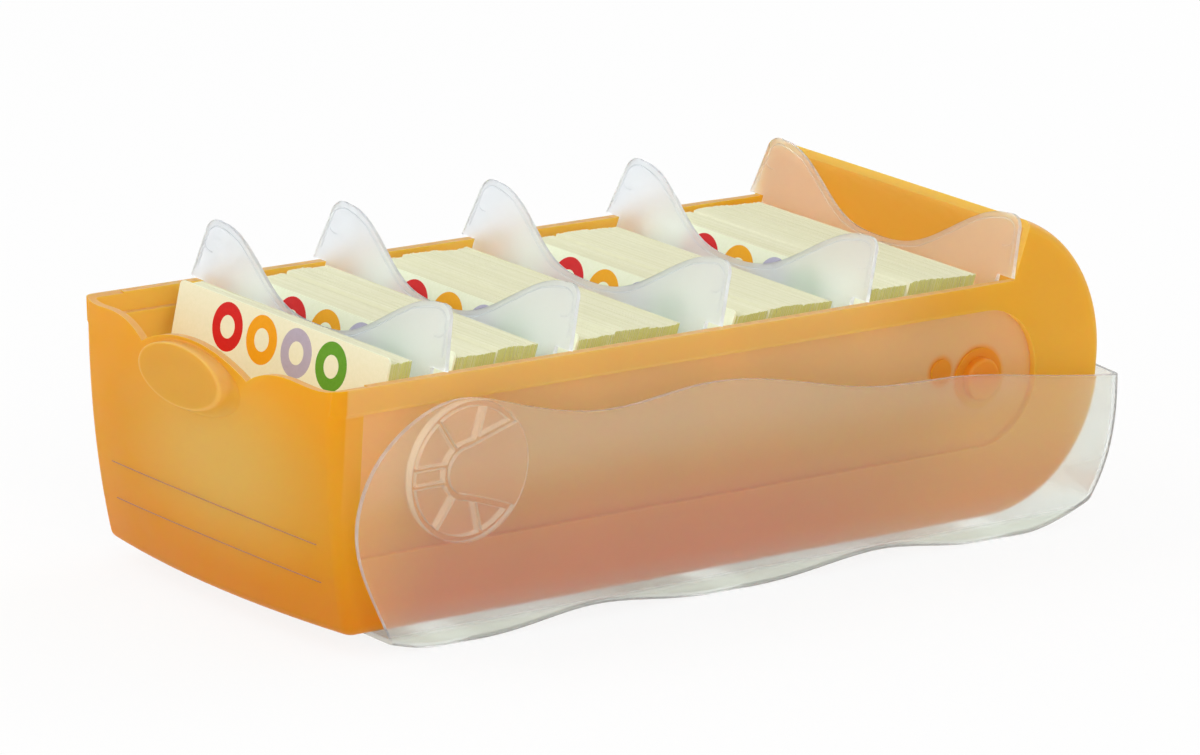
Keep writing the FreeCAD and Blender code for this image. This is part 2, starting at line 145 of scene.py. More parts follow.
# Tub's colours as they look on screen, from 0 to 255
orange_tones = [(234, 186, 42), (231, 179, 36)]
hood_tone = (235, 194, 70)
front_tone = (231, 178, 28)
low_tone = (231, 164, 22)
low_side_tone = (230, 136, 46)
# Painted light: a lighter tone on the side walls' inner faces
lit_inner_tone = (240, 203, 92)
# Painted light: a lighter tone on the hood's inner faces, as if lit through the hood from behind
lit_under_hood_tone = (242, 206, 104)
# Painted light: a lighter patch in the front wall's middle
lit_patch_tone = (228, 198, 104)
track_tone = (238, 202, 150)
strip_tone = (235, 190, 84)
band_tone = (231, 197, 122)
# Painted highlight on faces that look up, high on the tub
top_highlight_tone = (228, 191, 122)
pull_tone = (222, 182, 74)
# Painted highlight: a lighter ring round the pull's lip
pull_highlight_tone = (236, 198, 112)
deep_tone = (240, 164, 48)

# Lid: the wheels' axis seen from the side, and their fades across the box and at their rim
wheel_place = (-73.0, 37.25)
wheel_across = (45.4, 45.1)
wheel_rim = (15.6, 15.3)

# Lid's other fades: its side walls, their edges, the plate's edge, and the corners of the end wall
wall_height = (6.0, 12.0)
wall_end = (104.0, 92.0)
wall_edge_height = (5.0, 9.0)
wall_edge_end = (110.0, 104.0)
plate_edge_height = (5.0, 3.0)
corner_across = (44.0, 45.6)
corner_along = (111.5, 113.5)
edge_facing = (0.8, 0.4)

# Lid's colours. The painted light on its walls' edges has one colour, and on the wheels' edges another
lid_tones = [(250, 252, 250), (247, 251, 247)]
wall_tone = (251, 250, 242)
wheel_tone = (252, 231, 210)
# Painted light along the edges of the walls and of the wheels
wall_edge_light_tones = [(246, 226, 218), (254, 238, 220)]
plate_edge_tone = (234, 240, 230)

# How clear the lid is: plate and end wall, side walls, wheels, and edges of walls and of wheels
lid_clear = 0.92
wall_clear = 0.955
wheel_clear = 0.84
wall_edge_clear = 0.55
wheel_edge_clear = 0.4

# Dividers: the way that they face, about the same for all five, the fade to their cut edge, where the last one
# starts, which gets painted warm light, and the fade of the edges that look right, where the painted shade on the
# cut edge is lighter
divider_facing = (0.0, 0.96, -0.27)
divider_edge = (0.9, 0.5)
rear_divider = (50.0, 55.0)
lit_edge_facing = (0.4, 0.8)
divider_tones = [(241, 244, 246), (238, 242, 245)]
# Painted warm light on the rear divider
rear_divider_warm_light_tone = (247, 241, 230)
# Painted shade on the cut edges: greyer on most, lighter on those that face right, where the light falls
divider_edge_shade_tones = [(206, 211, 219), (234, 235, 238)]
divider_clear = 0.94

# Plastics: how much light bends in them. Then the tub's shine and clearness, and the share of light
# that glows through its wall
plastic_bend = 1.46
orange_shine = 0.3
orange_clear = 0.3
orange_glow = 0.3

# Clouds, in waves for each metre
orange_cloud = 22.0
lid_cloud = 30.0
divider_cloud = 40.0

# Roughness: waves for each metre, least, and most
orange_rough = (140.0, 0.34, 0.46)
lid_rough = (160.0, 0.19, 0.25)
divider_rough = (160.0, 0.54, 0.62)

# Grain: waves for each metre, depth in mm, and strength
orange_grain = (5200.0, 0.03, 0.18)
lid_grain = (1500.0, 0.02, 0.04)
divider_grain = (1500.0, 0.02, 0.1)
sheet_grain = (2600.0, 0.02, 0.25)
print_grain = (2600.0, 0.015, 0.2)

# Light inside: share, how far red, green and blue spread against each other, and reach in mm
orange_depth = (1.0, (1.0, 0.55, 0.2), 4.0)
frosted_depth = (0.5, (1.0, 1.0, 1.0), 2.0)

# Part of the lamps' light that goes on through a wall, and its tint
orange_pass = (0.88, (1.0, 0.98, 0.92, 1.0))
lid_pass = (0.92, (0.97, 0.98, 0.98, 1.0))
divider_pass = (0.9, (0.97, 0.98, 0.98, 1.0))

# Sheets of a packet: their two tones, fibres in waves for each metre, and the cut side edges
sheet_tones = [(236, 235, 212), (227, 226, 197)]
sheet_fibres = 900.0
sheet_fibre_share = 0.35
sheet_fibre_tone = (222, 220, 188)
sheet_side = (0.5, 0.9)
sheet_side_tone = (204, 212, 136)
sheet_rough = 0.85
sheet_shine = 0.25

# Header paper and inks: fibres and patches in waves for each metre, unevenness of the roughness,
# and shine
print_fibres = 1200.0
print_patches = 500.0
print_uneven = 0.06
print_shine = 0.3

# The two tones of the header paper, of the ruled lines and of each ink, and their roughness
header_tones = [(244, 248, 222), (238, 243, 213)]
ruling_tones = [(176, 128, 96), (168, 120, 92)]
ink_tones = [
    ("red_ink", (214, 24, 30), (205, 18, 24)),
    ("yellow_ink", (244, 172, 20), (238, 164, 14)),
    ("lilac_ink", (186, 182, 204), (178, 174, 196)),
    ("green_ink", (98, 166, 46), (90, 158, 40)),
]
ink_rough = 0.5
paper_rough = 0.7

# Cards in a packet: distance from card to card and the gap in it. Then how far they stray: height
# and side by chance, side and height in a slow wave along the packet, and turn by chance.
# Last come the wave's pace for each card, its start for each seed, and the shift to the second wave
card_pitch = 0.28
card_gap = 0.03
card_height_spread = 0.002
card_side_spread = 0.05
card_side_drift = 0.8
card_height_drift = 0.005
card_turn_spread = 0.0016
drift_pace = 0.045
drift_start = 7.31
drift_shift = 3.7

# Header cards: corner radius and its steps. Then the row of plain colour rings: places across,
# radius, radius of the hole, how far the middle is below the card's top, and steps round a ring
header_corner = 1.2
corner_steps = 6
ring_places = [-18.3, -6.1, 6.1, 18.3]
ring_radius = 5.3
ring_hole = 2.5
ring_depth = 6.1
ring_steps = 40

# Ruled lines on the tub's front: heights at their ends, rise at the middle, half length and middle,
# thread radius, how far it is sunk, and how far in front of the drawn origin the search for the wall
# starts
ruled_heights = [24.1, 15.7]
ruled_rise = 1.2
ruled_half_length = 36.2
ruled_middle = 1.2
ruled_radius = 0.2
ruled_sunk = 0.14
ruled_steps = 36
ruled_search = 40.0

# Dividers: outline of the dip and an ear, half width against height above the drawn origin
divider_dip = [(0.0, 54.3), (11.0, 55.5), (16.6, 57.8), (22.0, 61.0), (27.0, 64.0),
               (31.5, 66.2), (38.5, 67.6)]
ear_side = [(42.0, 66.2), (42.9, 63.4), (43.9, 57.5)]
bead_inset = 0.9
bead_radius = 0.2
bead_steps = 8

# Small moulded hook on each ear, drawn in the same way
ear_hook = [(42.4, 62.9), (41.5, 61.6), (40.3, 61.1), (39.0, 61.05)]
hook_radius = 0.16
hook_steps = 4

# Sides of a thread, of which the beads, the hooks and the ruled lines are made
thread_sides = 10


def linear(red, green, blue):
    """Colour given as it looks on screen, 0 to 255, as the linear colour that shaders take."""
    values = []
    for level in (red, green, blue):
        share = level / 255
        values.append(share / 12.92 if share <= 0.04045 else ((share + 0.055) / 1.055) ** 2.4)
    return (*values, 1.0)


def put(tree, kind, inputs=None, **settings):
    """Adds a node. An input is a value, or the output socket that feeds it."""
    node = tree.nodes.new(kind)
    for key, value in settings.items():
        setattr(node, key, value)
    for key, value in (inputs or {}).items():
        if isinstance(value, bpy.types.NodeSocket):
            tree.links.new(value, node.inputs[key])
        else:
            node.inputs[key].default_value = value
    return node


def make_camera():
    turn, rise, roll = (math.radians(angle) for angle in (camera_turn, camera_rise, camera_roll))
    level_right = Vector((math.cos(turn), math.sin(turn), 0.0))
    back = Vector((math.sin(turn) * math.cos(rise), -math.cos(turn) * math.cos(rise), math.sin(rise)))
    level_up = back.cross(level_right)
    right = level_right * math.cos(roll) + level_up * math.sin(roll)
    up = level_up * math.cos(roll) - level_right * math.sin(roll)
    place = drawn_origin + right * camera_aim_right + up * camera_aim_up + back * camera_distance
    matrix = Matrix((right, up, back)).transposed().to_4x4()
    matrix.translation = place * mm
    data = bpy.data.cameras.new("camera")
    data.lens = camera_lens
    data.sensor_width = camera_sensor
    data.clip_start = 0.05
    data.clip_end = 20.0
    camera = bpy.data.objects.new("camera", data)
    camera.matrix_world = matrix
    bpy.context.scene.collection.objects.link(camera)
    bpy.context.scene.camera = camera


def seen_ray(tree):
    """One where a ray comes from the camera, from gloss or through a clear wall."""
    path = put(tree, "ShaderNodeLightPath").outputs
    clear = put(tree, "ShaderNodeMath", {0: path["Is Glossy Ray"], 1: path["Is Transmission Ray"]},
                operation="MAXIMUM")
    seen = put(tree, "ShaderNodeMath", {0: path["Is Camera Ray"], 1: clear.outputs[0]},
               operation="MAXIMUM")
    return seen.outputs[0]


def make_world():
    world = bpy.data.worlds.new("studio")
    world.use_nodes = True
    tree = world.node_tree
    tree.nodes.clear()
    plain = put(tree, "ShaderNodeBackground", {"Color": (1.0, 1.0, 1.0, 1.0), "Strength": world_level})
    white = put(tree, "ShaderNodeBackground", {"Color": (1.0, 1.0, 1.0, 1.0), "Strength": 1.0})
    mix = put(tree, "ShaderNodeMixShader", {0: seen_ray(tree), 1: plain.outputs[0], 2: white.outputs[0]})
    put(tree, "ShaderNodeOutputWorld", {"Surface": mix.outputs[0]})
    bpy.context.scene.world = world


def make_floor():
    half = floor_size * mm / 2
    corners = [(-half, -half, 0), (half, -half, 0), (half, half, 0), (-half, half, 0)]
    mesh = bpy.data.meshes.new("floor")
    mesh.from_pydata(corners, [], [(0, 1, 2, 3)])
    floor = bpy.data.objects.new("floor", mesh)
    bpy.context.scene.collection.objects.link(floor)
    finish = bpy.data.materials.new("pale_floor")
    finish.use_nodes = True
    tree = finish.node_tree
    tree.nodes.clear()
    paint = put(tree, "ShaderNodeBsdfDiffuse", {"Color": (floor_grey, floor_grey, floor_grey, 1.0)})
    glow = put(tree, "ShaderNodeEmission", {"Color": (1.0, 1.0, 1.0, 1.0), "Strength": 1.0})
    share = put(tree, "ShaderNodeMath", {0: seen_ray(tree), 1: floor_glow}, operation="MULTIPLY")
    mix = put(tree, "ShaderNodeMixShader", {0: share.outputs[0], 1: paint.outputs[0], 2: glow.outputs[0]})
    put(tree, "ShaderNodeOutputMaterial", {"Surface": mix.outputs[0]})
    mesh.materials.append(finish)


def make_lamp(name, place, aim, size, power):
    data = bpy.data.lights.new(name, "AREA")
    data.shape = "SQUARE"
    data.size = size * mm
    data.energy = power
    lamp = bpy.data.objects.new(name, data)
    lamp.location = Vector(place) * mm
    lamp.rotation_euler = (Vector(aim) - Vector(place)).to_track_quat("-Z", "Y").to_euler()
    bpy.context.scene.collection.objects.link(lamp)


def new_finish(name):
    finish = bpy.data.materials.new(name)
    finish.use_nodes = True
    tree = finish.node_tree
    tree.nodes.clear()
    shader = put(tree, "ShaderNodeBsdfPrincipled")
    put(tree, "ShaderNodeOutputMaterial", {"Surface": shader.outputs[0]})
    place = put(tree, "ShaderNodeTexCoord").outputs["Object"]
    return finish, tree, shader, place


def noise(tree, place, scale, detail=2.0, roughness=0.5):
    """Noise value at each place. The scale is in waves for each metre."""
    return put(tree, "ShaderNodeTexNoise",
               {"Vector": place, "Scale": scale, "Detail": detail, "Roughness": roughness}).outputs[0]


def spread(tree, value, low, high):
    """Stretches the middle part of a noise value to a range."""
    stretch = {"Value": value, "From Min": 0.3, "From Max": 0.7, "To Min": low, "To Max": high}
    return put(tree, "ShaderNodeMapRange", stretch).outputs[0]


def blend_colours(tree, share, first, second):
    mix = put(tree, "ShaderNodeMix", {0: share, 6: first, 7: second}, data_type="RGBA")
    return mix.outputs[2]


def add_grain(tree, shader, place, scale, depth, strength):
    """Fine grain of a mould or a paper, as a bump. The depth is in mm."""
    grain = noise(tree, place, scale, 3.0, 0.6)
    bump = put(tree, "ShaderNodeBump", {"Height": grain, "Distance": depth * mm, "Strength": strength})
    tree.links.new(bump.outputs[0], shader.inputs["Normal"])


def let_lamps_through(tree, shader, share, tint):
    """Lets part of the light from the lamps reach what stands behind a clear wall."""
    output = next(node for node in tree.nodes if node.type == "OUTPUT_MATERIAL")
    path = put(tree, "ShaderNodeLightPath")
    part = put(tree, "ShaderNodeMath", {0: path.outputs["Is Shadow Ray"], 1: share}, operation="MULTIPLY")
    clear = put(tree, "ShaderNodeBsdfTransparent", {"Color": tint})
    mix = put(tree, "ShaderNodeMixShader",
              {0: part.outputs[0], 1: shader.outputs[0], 2: clear.outputs[0]})
    tree.links.new(mix.outputs[0], output.inputs["Surface"])


def turning(tree, value, start, end):
    """Share that goes smoothly from none to all as a value goes from start to end."""
    return put(tree, "ShaderNodeMapRange", {"Value": value, "From Min": start, "From Max": end},
               interpolation_type="SMOOTHSTEP").outputs[0]


def rising(tree, length, start, end):
    """The same for a length, from start to end in mm."""
    return turning(tree, length, start * mm, end * mm)


def split_facing(tree):
    """How far a face looks sideways, along the box, and up."""
    facing = put(tree, "ShaderNodeTexCoord").outputs["Normal"]
    across, along, up = put(tree, "ShaderNodeSeparateXYZ", {0: facing}).outputs
    return put(tree, "ShaderNodeMath", {0: across}, operation="ABSOLUTE").outputs[0], along, up


def share_of(tree, *shares):
    """Product of shares."""
    whole = shares[0]
    for share in shares[1:]:
        whole = put(tree, "ShaderNodeMath", {0: whole, 1: share}, operation="MULTIPLY").outputs[0]
    return whole


def split_place(tree, place):
    """Distance from the middle plane, place along the box, and height."""
    across, along, height = put(tree, "ShaderNodeSeparateXYZ", {0: place}).outputs
    return put(tree, "ShaderNodeMath", {0: across}, operation="ABSOLUTE").outputs[0], along, height


def share_across(tree, place):
    """Direction straight away from the middle plane, about one long at the side walls."""
    return put(tree, "ShaderNodeVectorMath", {0: place, 1: (1 / (band_face * mm), 0.0, 0.0)},
               operation="MULTIPLY").outputs[0]


def reach_from(tree, along, height, centre):
    """Distance from an axis that runs across the box."""
    spot = put(tree, "ShaderNodeCombineXYZ", {"Y": along, "Z": height}).outputs[0]
    axis = (0.0, centre[0] * mm, centre[1] * mm)
    return put(tree, "ShaderNodeVectorMath", {0: spot, 1: axis}, operation="DISTANCE").outputs["Value"]


def oval_reach(tree, place, centre, half_width, half_height):
    """Distance from a centre seen from the front, where one is the edge of an oval."""
    scale = (1 / (half_width * mm), 0.0, 1 / (half_height * mm))
    shift = (-centre[0] / half_width, 0.0, -centre[1] / half_height)
    spot = put(tree, "ShaderNodeVectorMath", {0: place, 1: scale, 2: shift}, operation="MULTIPLY_ADD")
    return put(tree, "ShaderNodeVectorMath", {0: spot.outputs[0]}, operation="LENGTH").outputs["Value"]


def round_spot(tree, along, height, centre, radius):
    """Share inside a round boss, with a soft edge."""
    reach = reach_from(tree, along, height, centre)
    return rising(tree, reach, radius + boss_softness, radius - boss_softness)


def paint(tree, share, tone, colour):
    """Puts a colour over a tone, as far as the share goes."""
    return blend_colours(tree, share, tone, linear(*colour))


def clouded(tree, place, scale, colours):
    """Two colours in soft clouds."""
    cloud = spread(tree, noise(tree, place, scale, 3.0), 0.0, 1.0)
    return blend_colours(tree, cloud, *(linear(*colour) for colour in colours))


def give_roughness(tree, shader, place, scale, low, high):
    tree.links.new(spread(tree, noise(tree, place, scale, 4.0), low, high), shader.inputs["Roughness"])


def give_depth(shader, share, radius, reach):
    """Light that spreads inside the plastic."""
    shader.inputs["Subsurface Weight"].default_value = share
    shader.inputs["Subsurface Radius"].default_value = radius
    shader.inputs["Subsurface Scale"].default_value = reach * mm


def orange_plastic():
    """Orange with painted light in the front wall's middle, on inner faces, on faces that look up and round the
    pull's lip; pale in the rim band and deep at the bosses.
    """
    finish, tree, shader, place = new_finish("translucent_orange")
    across, along, height = split_place(tree, place)
    tone = clouded(tree, place, orange_cloud, orange_tones)
    tone = paint(tree, rising(tree, along, *hood_fade), tone, hood_tone)

    front = rising(tree, along, *front_fade)
    tone = paint(tree, front, tone, front_tone)
    tone = paint(tree, rising(tree, height, *low_fade), tone, low_tone)
    low_side = share_of(tree, rising(tree, across, *low_side_across),
                        rising(tree, height, *low_side_height), rising(tree, along, *low_side_front),
                        rising(tree, along, *low_side_rear))
    tone = paint(tree, low_side, tone, low_side_tone)

    facing = put(tree, "ShaderNodeTexCoord").outputs["Normal"]
    inward = put(tree, "ShaderNodeVectorMath", {0: facing, 1: share_across(tree, place)},
                 operation="DOT_PRODUCT").outputs["Value"]
    # Painted light on the side walls' inner faces, in their upper part
    lit_inner_side = share_of(tree, turning(tree, inward, *lit_inner_facing), rising(tree, height, *lit_inner_height),
                          rising(tree, along, *lit_inner_along))
    tone = paint(tree, lit_inner_side, tone, lit_inner_tone)

    facing_along, up = split_facing(tree)[1:]
    # Painted light on the faces under the hood, as if lit through it from behind
    lit_under_hood = share_of(tree, rising(tree, along, *lit_under_hood_along),
                          turning(tree, facing_along, *lit_under_hood_facing),
                          rising(tree, height, *lit_under_hood_height))
    tone = paint(tree, lit_under_hood, tone, lit_under_hood_tone)

    # Painted light: a soft lighter patch in the front wall's middle
    lit_patch_reached = oval_reach(tree, place, lit_patch_place, *lit_patch_reach)
    lit_patch = share_of(tree, front, turning(tree, lit_patch_reached, *lit_patch_fade))
    tone = paint(tree, lit_patch, tone, lit_patch_tone)

    track = share_of(tree, rising(tree, across, *outer_side), rising(tree, across, *track_side),
                     rising(tree, height, *track_height), rising(tree, height, *track_top),
                     rising(tree, along, *track_start))
    tone = paint(tree, track, tone, track_tone)

    past_corner = rising(tree, along, *band_start)
    strip = share_of(tree, rising(tree, across, *strip_across), past_corner,
                     rising(tree, along, *strip_end), rising(tree, height, *strip_height))
    tone = paint(tree, strip, tone, strip_tone)

    band = share_of(tree, rising(tree, across, *band_across), rising(tree, height, *band_height),
                    rising(tree, along, *band_fade), past_corner)
    tone = paint(tree, band, tone, band_tone)

    # Painted highlight on faces that look up, along the rim's top
    rim = share_of(tree, turning(tree, up, *top_highlight_facing), rising(tree, height, *top_highlight_height))
    tone = paint(tree, rim, tone, top_highlight_tone)

    pull_edge = oval_reach(tree, place, pull_place, *pull_reach)
    proud = rising(tree, along, *pull_proud)
    tone = paint(tree, share_of(tree, proud, turning(tree, pull_edge, *pull_fade)), tone, pull_tone)
    # Painted highlight round the pull's lip
    pull_highlight = share_of(tree, proud, turning(tree, pull_edge, *pull_highlight_inside),
                        turning(tree, pull_edge, *pull_highlight_outside))
    tone = paint(tree, pull_highlight, tone, pull_highlight_tone)

    outside = rising(tree, across, *outer_side)
    boss = share_of(tree, outside, round_spot(tree, along, height, boss_place, boss_reach),
                    rising(tree, height, *boss_height))
    bump = share_of(tree, outside, round_spot(tree, along, height, bump_place, bump_reach))
    deep = put(tree, "ShaderNodeMath", {0: boss, 1: bump}, operation="MAXIMUM").outputs[0]
    tone = paint(tree, deep, tone, deep_tone)

    tree.links.new(tone, shader.inputs["Base Color"])
    give_roughness(tree, shader, place, *orange_rough)
    add_grain(tree, shader, place, *orange_grain)
    shader.inputs["IOR"].default_value = plastic_bend
    shader.inputs["Specular IOR Level"].default_value = orange_shine
    shader.inputs["Transmission Weight"].default_value = orange_clear
    give_depth(shader, *orange_depth)
    through = put(tree, "ShaderNodeBsdfTranslucent", {"Color": tone})
    body = put(tree, "ShaderNodeMixShader",
               {0: orange_glow, 1: shader.outputs[0], 2: through.outputs[0]})
    let_lamps_through(tree, body, *orange_pass)
    return finish


def by_share(tree, share, none, whole):
    """Number that goes from one value to another with a share."""
    return put(tree, "ShaderNodeMapRange", {"Value": share, "To Min": none, "To Max": whole}).outputs[0]


def frosted_plastic():
    """Frosted clear, a little milkier on the wheels, and milky where the walls are seen on edge, with painted
    light on these edges and the wheels' edges.
    """
    finish, tree, shader, place = new_finish("frosted_clear")
    across, along, height = split_place(tree, place)
    tone = clouded(tree, place, lid_cloud, lid_tones)
    wheel = share_of(tree, rising(tree, across, *wheel_across),
                     rising(tree, reach_from(tree, along, height, wheel_place), *wheel_rim))
    wall = share_of(tree, rising(tree, height, *wall_height), rising(tree, along, *wall_end))
    tone = paint(tree, wall, tone, wall_tone)
    tone = paint(tree, wheel, tone, wheel_tone)

    sideways, _, up = split_facing(tree)
    level = put(tree, "ShaderNodeMath", {0: up}, operation="ABSOLUTE").outputs[0]
    wall_edge = share_of(tree, turning(tree, sideways, *edge_facing),
                         rising(tree, height, *wall_edge_height), rising(tree, along, *wall_edge_end))
    # Painted light along the walls' edges, in one tone on the wheels' edges and another elsewhere
    painted_edge_tone = blend_colours(tree, wheel, *(linear(*colour) for colour in wall_edge_light_tones))
    tone = blend_colours(tree, wall_edge, tone, painted_edge_tone)
    plate_edge = share_of(tree, turning(tree, level, *edge_facing),
                          rising(tree, height, *plate_edge_height))
    tone = paint(tree, plate_edge, tone, plate_edge_tone)
    edge = put(tree, "ShaderNodeMath", {0: wall_edge, 1: plate_edge}, operation="MAXIMUM").outputs[0]
    corner = share_of(tree, rising(tree, across, *corner_across), rising(tree, along, *corner_along))
    edge = put(tree, "ShaderNodeMath", {0: edge, 1: corner}, operation="MAXIMUM").outputs[0]

    tree.links.new(tone, shader.inputs["Base Color"])
    give_roughness(tree, shader, place, *lid_rough)
    add_grain(tree, shader, place, *lid_grain)
    shader.inputs["IOR"].default_value = plastic_bend
    clear = by_share(tree, wall, lid_clear, wall_clear)
    clear = by_share(tree, wheel, clear, wheel_clear)
    edge_clear = by_share(tree, wheel, wall_edge_clear, wheel_edge_clear)
    clear = by_share(tree, edge, clear, edge_clear)
    tree.links.new(clear, shader.inputs["Transmission Weight"])
    give_depth(shader, *frosted_depth)
    let_lamps_through(tree, shader, *lid_pass)
    return finish


def divider_plastic():
    """Frosted sheet, with painted warm light on the rear one, and painted shade on its cut edge, lighter on edges
    that face right.
    """
    finish, tree, shader, place = new_finish("frosted_divider")
    tone = clouded(tree, place, divider_cloud, divider_tones)
    along = split_place(tree, place)[1]
    # Painted warm light on the rear divider
    tone = paint(tree, rising(tree, along, *rear_divider), tone, rear_divider_warm_light_tone)
    facing = put(tree, "ShaderNodeTexCoord").outputs["Normal"]
    lean = put(tree, "ShaderNodeVectorMath", {0: facing, 1: divider_facing}, operation="DOT_PRODUCT")
    flat = put(tree, "ShaderNodeMath", {0: lean.outputs["Value"]}, operation="ABSOLUTE")
    side = put(tree, "ShaderNodeSeparateXYZ", {0: facing}).outputs[0]
    # Painted shade on the cut edges, lighter on those that face right
    right = turning(tree, side, *lit_edge_facing)
    painted_edge_tone = blend_colours(tree, right, *(linear(*colour) for colour in divider_edge_shade_tones))
    tone = blend_colours(tree, turning(tree, flat.outputs[0], *divider_edge), tone, painted_edge_tone)
    tree.links.new(tone, shader.inputs["Base Color"])
    give_roughness(tree, shader, place, *divider_rough)
    add_grain(tree, shader, place, *divider_grain)
    shader.inputs["IOR"].default_value = plastic_bend
    shader.inputs["Transmission Weight"].default_value = divider_clear
    give_depth(shader, *frosted_depth)
    let_lamps_through(tree, shader, *divider_pass)
    return finish


def card_stock():
    """Sheets with their own tone, and a darker olive on their cut side edges."""
    finish, tree, shader, place = new_finish("card_stock")
    tone_of_card = put(tree, "ShaderNodeAttribute", attribute_name="card_tone").outputs["Fac"]
    paper = blend_colours(tree, tone_of_card, *(linear(*colour) for colour in sheet_tones))
    fibres = spread(tree, noise(tree, place, sheet_fibres, 4.0, 0.7), 0.0, sheet_fibre_share)
    paper = paint(tree, fibres, paper, sheet_fibre_tone)
    paper = paint(tree, turning(tree, split_facing(tree)[0], *sheet_side), paper, sheet_side_tone)
    tree.links.new(paper, shader.inputs["Base Color"])
    shader.inputs["Roughness"].default_value = sheet_rough
    shader.inputs["Specular IOR Level"].default_value = sheet_shine
    add_grain(tree, shader, place, *sheet_grain)
    return finish


def printed_paper(name, colour, second, rough):
    """Paper or ink with fine fibres in two tones of one colour."""
    finish, tree, shader, place = new_finish(name)
    fibres = spread(tree, noise(tree, place, print_fibres, 4.0, 0.7), 0.0, 1.0)
    tone = blend_colours(tree, fibres, linear(*colour), linear(*second))
    tree.links.new(tone, shader.inputs["Base Color"])
    uneven = spread(tree, noise(tree, place, print_patches), rough - print_uneven, rough + print_uneven)
    tree.links.new(uneven, shader.inputs["Roughness"])
    shader.inputs["Specular IOR Level"].default_value = print_shine
    add_grain(tree, shader, place, *print_grain)
    return finish


def line_tree():
    """Round thread along a path: the rule that the beads and ruled lines follow."""
    tree = bpy.data.node_groups.new("raised_line", "GeometryNodeTree")
    face = tree.interface
    face.new_socket(name="Path", in_out="INPUT", socket_type="NodeSocketGeometry")
    face.new_socket(name="Radius", in_out="INPUT", socket_type="NodeSocketFloat")
    face.new_socket(name="Finish", in_out="INPUT", socket_type="NodeSocketMaterial")
    face.new_socket(name="Line", in_out="OUTPUT", socket_type="NodeSocketGeometry")
    given = put(tree, "NodeGroupInput").outputs
    curve = put(tree, "GeometryNodeMeshToCurve", {"Mesh": given["Path"]})
    ring = put(tree, "GeometryNodeCurvePrimitiveCircle",
               {"Resolution": thread_sides, "Radius": given["Radius"]})
    tube = put(tree, "GeometryNodeCurveToMesh",
               {"Curve": curve.outputs[0], "Profile Curve": ring.outputs[0], "Fill Caps": True})
    whole = put(tree, "GeometryNodeRealizeInstances", {0: tube.outputs[0]})
    painted = put(tree, "GeometryNodeSetMaterial",
                  {"Geometry": whole.outputs[0], "Material": given["Finish"]})
    put(tree, "NodeGroupOutput", {0: painted.outputs[0]})
    return tree


def packet_tree():
    """Packet of leaning sheets on a line of points, each a little out of place."""
    tree = bpy.data.node_groups.new("card_packet", "GeometryNodeTree")
    face = tree.interface
    kinds = [("Cards", "Int"), ("Pitch", "Float"), ("Sheet", "Vector"), ("Lean", "Float"),
             ("Side Spread", "Float"), ("Side Drift", "Float"), ("Height Spread", "Float"),
             ("Height Drift", "Float"), ("Turn Spread", "Float"), ("Seed", "Int"), ("Finish", "Material")]
    for name, kind in kinds:
        face.new_socket(name=name, in_out="INPUT", socket_type="NodeSocket" + kind)
    face.new_socket(name="Packet", in_out="OUTPUT", socket_type="NodeSocketGeometry")
    given = put(tree, "NodeGroupInput").outputs

    def join(first, second, operation="MULTIPLY"):
        return put(tree, "ShaderNodeMath", {0: first, 1: second}, operation=operation).outputs[0]

    def vector(x=0.0, y=0.0, z=0.0):
        return put(tree, "ShaderNodeCombineXYZ", {"X": x, "Y": y, "Z": z}).outputs[0]

    def shuffled(number):
        """Random value from -1 to 1 for each card. Each use has a number of its own."""
        seed = join(given["Seed"], float(number), "ADD")
        span = {2: -1.0, 3: 1.0, "Seed": seed}
        return put(tree, "FunctionNodeRandomValue", span, data_type="FLOAT").outputs[1]

    def drifting(offset):
        """Slow wave along the packet, about from -1 to 1. Each use has an offset of its own."""
        index = put(tree, "GeometryNodeInputIndex").outputs[0]
        start = join(given["Seed"], drift_start + offset)
        along = join(index, drift_pace)
        wave = put(tree, "ShaderNodeTexNoise",
                   {"W": join(start, along, "ADD"), "Scale": 1.0, "Detail": 2.0},
                   noise_dimensions="1D").outputs[0]
        return join(join(wave, 0.5, "SUBTRACT"), 2.0)

    line = put(tree, "GeometryNodeMeshLine",
               {"Count": given["Cards"], "Offset": vector(y=given["Pitch"])}, mode="OFFSET").outputs[0]
    loose = join(shuffled(1), given["Side Spread"])
    side = join(loose, join(drifting(0.0), given["Side Drift"]), "ADD")
    moved = put(tree, "GeometryNodeSetPosition", {"Geometry": line, "Offset": vector(x=side)}).outputs[0]

    card = put(tree, "GeometryNodeMeshCube", {"Size": given["Sheet"]}).outputs[0]
    half = put(tree, "ShaderNodeVectorMath", {0: given["Sheet"], 1: (0.0, 0.5, 0.5)},
               operation="MULTIPLY").outputs[0]
    card = put(tree, "GeometryNodeTransform", {"Geometry": card, "Translation": half}).outputs[0]

    turn = vector(x=given["Lean"], y=join(shuffled(2), given["Turn Spread"]))
    short = join(join(shuffled(3), 1.0, "ADD"), given["Height Spread"])
    worn = join(join(drifting(drift_shift), 1.0, "ADD"), given["Height Drift"])
    size = vector(x=1.0, y=1.0, z=join(1.0, join(short, worn, "ADD"), "SUBTRACT"))
    placed = put(tree, "GeometryNodeInstanceOnPoints",
                 {"Points": moved, "Instance": card, "Rotation": turn, "Scale": size}).outputs[0]
    tone = join(join(shuffled(4), 0.5), 0.5, "ADD")
    toned = put(tree, "GeometryNodeStoreNamedAttribute",
                {"Geometry": placed, "Name": "card_tone", "Value": tone},
                data_type="FLOAT", domain="INSTANCE").outputs[0]
    whole = put(tree, "GeometryNodeRealizeInstances", {0: toned}).outputs[0]
    painted = put(tree, "GeometryNodeSetMaterial",
                  {"Geometry": whole, "Material": given["Finish"]}).outputs[0]
    put(tree, "NodeGroupOutput", {0: painted})
    return tree


